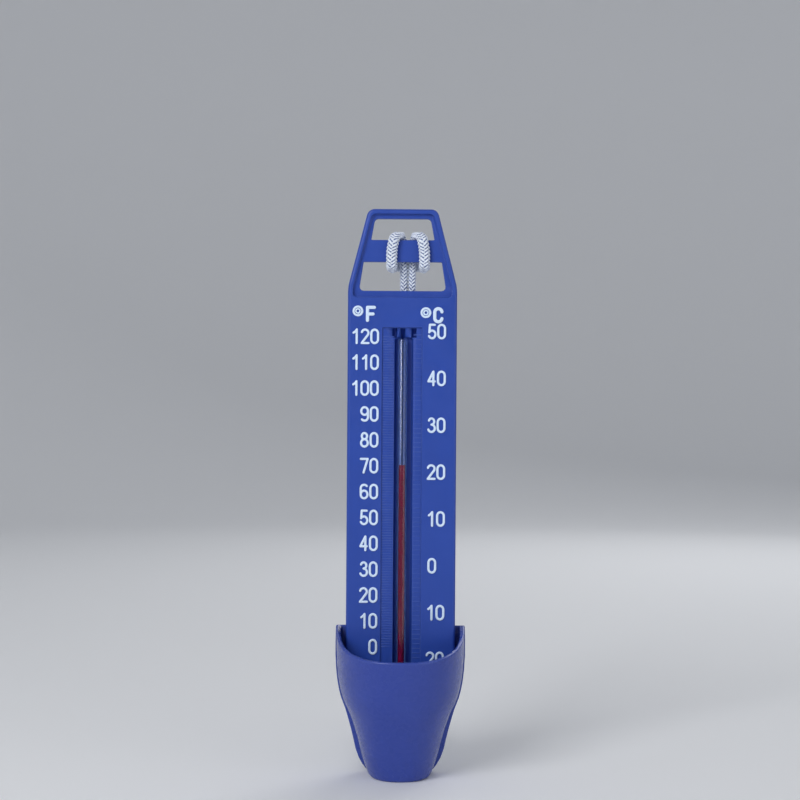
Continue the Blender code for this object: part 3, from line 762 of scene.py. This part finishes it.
def digit_strokes(digit):
    """The centre lines of a digit about its middle, in millimetres: (points, closed) strokes."""
    a, b = WIDE, TALL
    bowl = 1.15
    if digit == "0":
        ends = 1.1 * a
        return [(arc(0, b - ends, a, ends, 0, 180) + arc(0, ends - b, a, ends, 180, 360), True)]
    if digit == "1":
        stem = 0.36
        return [
            ([(stem, b), (stem, -b)], False),
            ([(stem - 0.95, b - 0.95), (stem - 0.4, b - 0.55), (stem, b)], False),
        ]
    if digit == "2":
        return [(arc(0, b - a, a, a, 165, -35) + [(-a, -b)], False), ([(-a, -b), (a, -b)], False)]
    if digit == "3":
        upper = 0.92
        return [
            (arc(0, b - upper, 0.82, upper, 160, -90), False),
            (arc(0, -upper, a, b - upper, 90, -160), False),
        ]
    if digit == "4":
        return [
            ([(0.45, b), (-1.0, -0.85)], False),
            ([(-1.0, -0.9), (0.88, -0.9)], False),
            ([(0.48, b), (0.48, -b)], False),
        ]
    if digit == "5":
        return [
            ([(0.78, b), (-0.66, b)], False),
            ([(-0.66, b), (-0.78, 0.1)], False),
            (arc(0, bowl - b, a, bowl, 145, -155), False),
        ]
    if digit == "6":
        return [
            (arc(0, b - a, a, a, 40, 180) + [(-a, bowl - b)], False),
            (arc(0, bowl - b, a, bowl, 0, 360), True),
        ]
    if digit == "7":
        return [([(-a, b), (a, b)], False), ([(a, b), (-0.2, -b)], False)]
    if digit == "8":
        upper = 0.93
        return [
            (arc(0, b - upper, 0.8, upper, 0, 360), True),
            (arc(0, -upper, a, b - upper, 0, 360), True),
        ]
    return [([(-x, -z) for x, z in points], closed) for points, closed in digit_strokes("6")]


def stroke_rows(points, closed, half, lift):
    """Rows of points across a raised stroke with rounded edges and, if it is open, round ends."""
    line = [Vector(p) for p in points]
    if closed and (line[0] - line[-1]).length < 1e-6:
        line.pop()
    rows = []

    def add_row(centre, normal, width):
        edge = min(SOFT_EDGE, width)
        top = RAISED + lift
        section = [(-width, -SUNK), (-width, top - edge), (-width + 0.3 * edge, top - 0.3 * edge)]
        section += [(-width + edge, top)]
        section += [(-a, h) for a, h in reversed(section)]
        across = [(centre + normal * a, h) for a, h in section]
        rows.append([(place.x * MM, FACE_Y - h * MM, place.y * MM) for place, h in across])

    for i, here in enumerate(line):
        if closed:
            before, after = line[i - 1], line[(i + 1) % len(line)]
        else:
            before, after = line[max(0, i - 1)], line[min(len(line) - 1, i + 1)]
        along = (after - before).normalized()
        normal = Vector((-along.y, along.x))
        if not closed and i == 0:
            for cap in CAP_ANGLES:
                add_row(here - along * half * math.sin(cap), normal, half * math.cos(cap))
        add_row(here, normal, half)
        if not closed and i == len(line) - 1:
            for cap in reversed(CAP_ANGLES):
                add_row(here + along * half * math.sin(cap), normal, half * math.cos(cap))
    return rows


def raised_marks(name, strokes, finish):
    """One piece from (points, closed, stroke width) marks in millimetres on the dial."""
    verts, faces = [], []
    for k, (points, closed, width) in enumerate(strokes):
        rows = np.array(stroke_rows(points, closed, width / 2, STACKED * (k % 3)))
        part = grid_mesh("stroke", rows, closed)
        start = len(verts)
        verts += [v.co.copy() for v in part.vertices]
        faces += [[start + i for i in p.vertices] for p in part.polygons]
        bpy.data.meshes.remove(part)
    mesh = bpy.data.meshes.new(name)
    mesh.from_pydata(verts, [], faces)
    return added(name, mesh, finish, 50)


def number_strokes(number, x, z, anchor):
    """Strokes of a whole number whose last (anchor 1) or first (anchor 0) digit is centred at x."""
    text = str(abs(number))
    strokes = []
    for k, digit in enumerate(text):
        shift = x + DIGIT_PITCH * (k - anchor * (len(text) - 1))
        for points, closed in digit_strokes(digit):
            strokes.append(([(shift + px, z + pz) for px, pz in points], closed, STROKE))
    return strokes


def degree_sign(x, z):
    """Two rings, one inside the other, as (points, closed, stroke width) marks."""
    return [(arc(x, z, radius, radius, 0, 360), True, stroke) for radius, stroke in DEGREE_RINGS]


def letter_f(x, top, middle, foot):
    lines = (
        [(x, top), (x, foot)],
        [(x, top), (x + F_TOP_ARM, top)],
        [(x, middle), (x + F_MIDDLE_ARM, middle)],
    )
    return [(line, False, LETTER_STROKE) for line in lines]


def letter_c(x, upper, lower, radius):
    curve = arc(x, upper, radius, radius, 8, 180) + arc(x, lower, radius, radius, 180, 352)
    return [(curve, False, LETTER_STROKE)]


def make_numerals(white):
    """Both scales' numbers and their degree marks."""
    fahrenheit, celsius = [], []
    for degrees in range(0, 130, 10):
        z = (FAHRENHEIT_ZERO + FAHRENHEIT_DEGREE * degrees) / MM
        fahrenheit += number_strokes(degrees, FAHRENHEIT_X, z, 1)
    for degrees in range(-20, 60, 10):
        z = (CELSIUS_ZERO + CELSIUS_DEGREE * degrees) / MM
        celsius += number_strokes(degrees, CELSIUS_X if degrees else CELSIUS_LONE_X, z, 0)
    f_mark = degree_sign(-13.38, 139.2) + letter_f(-10.5, 140.3, 138.3, 136.4)
    c_mark = degree_sign(7.07, 138.8) + letter_c(10.8, 138.95, 137.18, 1.08)
    marks = {
        "numerals_fahrenheit": fahrenheit,
        "numerals_celsius": celsius,
        "mark_fahrenheit": f_mark,
        "mark_celsius": c_mark,
    }
    return [raised_marks(name, strokes, white) for name, strokes in marks.items()]


# --- thermometer --------------------------------------------------------------------------------
TUBE_R = 1.5 * MM
TUBE_ROUNDS = 48
BORE_R = 0.62 * MM
TIP_R = 0.02 * MM  # a turned profile stops this far from the axis, where a small face caps it
WET = 0.02 * MM  # the spirit wets the glass, so its skin lies this far inside it
BULB_R = (TUBE_HIGH.x - TUBE_LOW.x) / 2
BULB_TALL = 7.3 * MM  # half its height, as a full ellipse
BULB_ROWS = 24
BULB_MID_Z = TUBE_LOW.z + BULB_TALL
BULB_WALL = 0.6 * MM
NECK_Z = 28.2 * MM
TUBE_TOP_Z = TUBE_HIGH.z
BORE_TOP_Z = TUBE_TOP_Z - 1.6 * MM  # where its closed end starts to round in
BORE_DOME = 1.2 * MM
BACK_FROM_Y = TUBE_Y + 0.2 * MM  # the painted reflection covers the glass behind this
COLUMN_FOOT_Z = 16 * MM
COLUMN_SLIM = 0.99  # the column's thickness in the pool's neck, so that their skins don't coincide
# The meniscus, from the glass in: (share of the column's radius, height in millimetres).
MENISCUS = ((1.0, 0.0), (0.92, -0.06), (0.75, -0.14), (0.45, -0.22), (0.1, -0.25))


def lathe(profile, segments):
    """Rows of points round the tube's axis, from (radius, height) points."""
    angle = np.linspace(0, 2 * math.pi, segments, endpoint=False)
    radius, height = np.array(profile).T
    x = TUBE_X + radius[:, None] * np.cos(angle)
    y = TUBE_Y + radius[:, None] * np.sin(angle)
    return np.stack([x, y, np.repeat(height[:, None], segments, 1)], -1)


def bulb_profile(radius, tall, stem_r):
    """From the bulb's foot up to where it narrows to the stem, blended by a smooth shoulder."""
    points = []
    for k in range(1, BULB_ROWS + 1):
        angle = math.pi * (k / BULB_ROWS - 0.5)
        r, z = radius * math.cos(angle), BULB_MID_Z + tall * math.sin(angle)
        if z > BULB_MID_Z:
            share = min(1, (z - BULB_MID_Z) / (NECK_Z - BULB_MID_Z))
            smooth = share**3 * (10 - 15 * share + 6 * share**2)
            r = max(stem_r, radius + (stem_r - radius) * smooth)
        points.append((r, z))
    return [p for p in points if p[1] < NECK_Z - 0.2 * MM]


def glass_shell(profile, inside, slot_of):
    """A closed shell of the glass, facing out or, for the bore, in. slot_of names each face's material."""
    part = grid_mesh("shell", lathe(profile, TUBE_ROUNDS))
    shell = bmesh.new()
    shell.from_mesh(part)
    bmesh.ops.recalc_face_normals(shell, faces=shell.faces)
    if inside:
        bmesh.ops.reverse_faces(shell, faces=shell.faces)
    for face in shell.faces:
        face.material_index = slot_of(face.calc_center_median())
    shell.to_mesh(part)
    shell.free()
    return part


def make_glass(glass, back, bore):
    """The stem and its bulb: clear in front, with a blue-white painted reflection on the back of the stem,
    and a fine bore whose wall carries painted reflection and a painted dark shade line.
    """
    outer = [(TIP_R, TUBE_LOW.z), *bulb_profile(BULB_R, BULB_TALL, TUBE_R), (TUBE_R, NECK_Z)]
    outer += [
        (TUBE_R, TUBE_TOP_Z - 0.3 * MM),
        (TUBE_R - 0.1 * MM, TUBE_TOP_Z - 0.08 * MM),
        (TUBE_R - 0.3 * MM, TUBE_TOP_Z),
        (TIP_R, TUBE_TOP_Z),
    ]
    inner = [(TIP_R, TUBE_LOW.z + BULB_WALL)]
    inner += bulb_profile(BULB_R - BULB_WALL, BULB_TALL - BULB_WALL, BORE_R)
    inner += [(BORE_R, NECK_Z), (BORE_R, BORE_TOP_Z)]
    for angle in [math.radians(a) for a in (20, 40, 60, 80, 89)]:
        inner.append((BORE_R * math.cos(angle), BORE_TOP_Z + BORE_DOME * math.sin(angle)))

    shells = (
        glass_shell(outer, False, lambda middle: int(middle.y > BACK_FROM_Y and middle.z > NECK_Z)),
        glass_shell(inner, True, lambda middle: 2),
    )
    bm = bmesh.new()
    for part in shells:
        bm.from_mesh(part)
        bpy.data.meshes.remove(part)
    mesh = bpy.data.meshes.new("glass_stem")
    bm.to_mesh(mesh)
    bm.free()
    mesh.shade_smooth()
    for finish in (glass, back, bore):
        mesh.materials.append(finish)
    thing = bpy.data.objects.new("glass_stem", mesh)
    bpy.context.scene.collection.objects.link(thing)
    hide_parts("glass_tube")
    return thing


def make_spirit(red):
    """The spirit in the bulb, and the column with its meniscus, which stretches from the bulb."""
    wet_r = BORE_R + WET
    bulb = bulb_profile(BULB_R - BULB_WALL + WET, BULB_TALL - BULB_WALL + WET, wet_r)
    bulb = [(TIP_R, TUBE_LOW.z + BULB_WALL - WET), *bulb, (wet_r, NECK_Z)]
    pool = added("bulb_fill", grid_mesh("bulb_fill", lathe(bulb, 40)), red, 60)
    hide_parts("bulb_spirit")

    column_r = wet_r * COLUMN_SLIM
    profile = [(column_r, z) for z in np.linspace(COLUMN_FOOT_Z, COLUMN_TOP - 0.3 * MM, 60)]
    profile += [(column_r * share, COLUMN_TOP + dz * MM) for share, dz in MENISCUS]
    column = added("spirit_thread", grid_mesh("spirit_thread", lathe(profile, 32)), red, 60)
    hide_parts("spirit_column")
    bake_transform(column)
    return pool, column


# --- stage --------------------------------------------------------------------------------------
FLOOR_FLAT, FLOOR_CURVE, FLOOR_WALL = 1.0, 0.5, 1.8  # metres
FLOOR_DROP = 0.05 * MM  # below the part, so that no faces coincide
AIM = (0, 0.01, 0.085)  # the middle of the part
LIGHTS = (
    ("key", (-0.42, -0.62, 0.5), 0.4, 4.0),
    ("fill", (0.6, -0.55, 0.14), 0.6, 1.4),
    ("rear", (0.35, 0.75, 0.6), 0.6, 2.4),
)  # name, place, size in metres and power in watts


def area_light(name, place, size, power):
    data = bpy.data.lights.new(name, "AREA")
    data.size = size
    data.energy = power
    light = bpy.data.objects.new(name, data)
    bpy.context.scene.collection.objects.link(light)
    light.location = place
    light.rotation_euler = (Vector(AIM) - Vector(place)).to_track_quat("-Z", "Y").to_euler()


def make_floor():
    """A pale floor that curves up all round."""
    profile = [(0.001, 0.0), (FLOOR_FLAT, 0.0)]
    for angle in [math.pi / 2 * k / 12 for k in range(1, 13)]:
        profile.append((FLOOR_FLAT + FLOOR_CURVE * math.sin(angle), FLOOR_CURVE * (1 - math.cos(angle))))
    profile.append((FLOOR_FLAT + FLOOR_CURVE, FLOOR_WALL))
    angle = np.linspace(0, 2 * math.pi, 96, endpoint=False)
    radius, height = np.array(profile).T
    x = radius[:, None] * np.cos(angle)
    y = radius[:, None] * np.sin(angle)
    z = np.repeat(height[:, None], len(angle), 1) - FLOOR_DROP
    mesh = grid_mesh("floor", np.stack([x, y, z], -1))
    bm = bmesh.new()
    bm.from_mesh(mesh)
    bm.faces.ensure_lookup_table()
    bmesh.ops.delete(bm, geom=[bm.faces[-1]], context="FACES_ONLY")  # the lid on top of the wall
    bm.to_mesh(mesh)
    bm.free()
    mesh.shade_smooth()
    mesh.materials.append(new_material("stage", (0.82, 0.83, 0.85), 0.9)[0])
    floor = bpy.data.objects.new("floor", mesh)
    bpy.context.scene.collection.objects.link(floor)


def make_stage():
    """The floor, and soft light."""
    make_floor()
    world = bpy.data.worlds.new("world")
    world.use_nodes = True
    background = world.node_tree.nodes["Background"]
    background.inputs["Color"].default_value = (0.92, 0.95, 1.0, 1)
    background.inputs["Strength"].default_value = 0.34
    bpy.context.scene.world = world
    for light in LIGHTS:
        area_light(*light)
    bpy.context.scene.view_settings.view_transform = "Standard"


# --- the whole ----------------------------------------------------------------------------------
def main():
    make_camera()
    white = cord_white()
    (cord_left, cord_right), routes = make_cords(white)
    knot, tails = make_knot(white)
    tie = make_tie(tie_plastic())
    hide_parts("cord_left", "cord_hank")
    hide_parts("cord_right")
    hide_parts("cord_knot")
    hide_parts("hank_tie")

    blue = moulded_plastic("plate_blue", (0.019, 0.062, 0.36))
    # a wider painted edge highlight, which makes the cup's rounded lip and sides paler
    cup_blue = moulded_plastic("cup_blue", (0.034, 0.064, 0.34), edge=1.0, smooth=0.2)
    plate = welded("plate_moulding", "scale_plate", blue, 32)
    cup = welded("cup_moulding", "scoop_cup", cup_blue, 32)
    ribs = [
        make_ribs("ribs_fahrenheit", *FAHRENHEIT_RIBS_X, *FAHRENHEIT_RIBS_Z, FAHRENHEIT_DEGREE, blue),
        make_ribs("ribs_celsius", *CELSIUS_RIBS_X, *CELSIUS_RIBS_Z, CELSIUS_DEGREE, blue),
    ]
    printed = make_numerals(painted_white())
    # The glass's back and bore: blue-white painted reflection, with a painted dark shade line up the middle
    back = milky_glass("back_painted_reflection", (0.2, 0.34, 0.85), (0.1, 0.2, 0.6))
    bore = milky_glass("bore_painted_light", (0.13, 0.22, 0.6), (0.012, 0.035, 0.15))
    glass = make_glass(clear_glass(), back, bore)
    pool, column = make_spirit(dyed_spirit())
    bush = welded("bush_sleeve", "tube_bush", soft_rubber(), 40)

    for thing, slot in (
        *((p, "white_cord") for p in (cord_left, cord_right, knot, *tails)),
        *((p, "tie_band") for p in tie),
        *((p, "blue_plastic") for p in (plate, cup, *ribs, *printed)),
        (glass, "glass"),
        (pool, "red_spirit"),
        (bush, "soft_rubber"),
    ):
        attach(thing, "root")
    make_stage()


main()
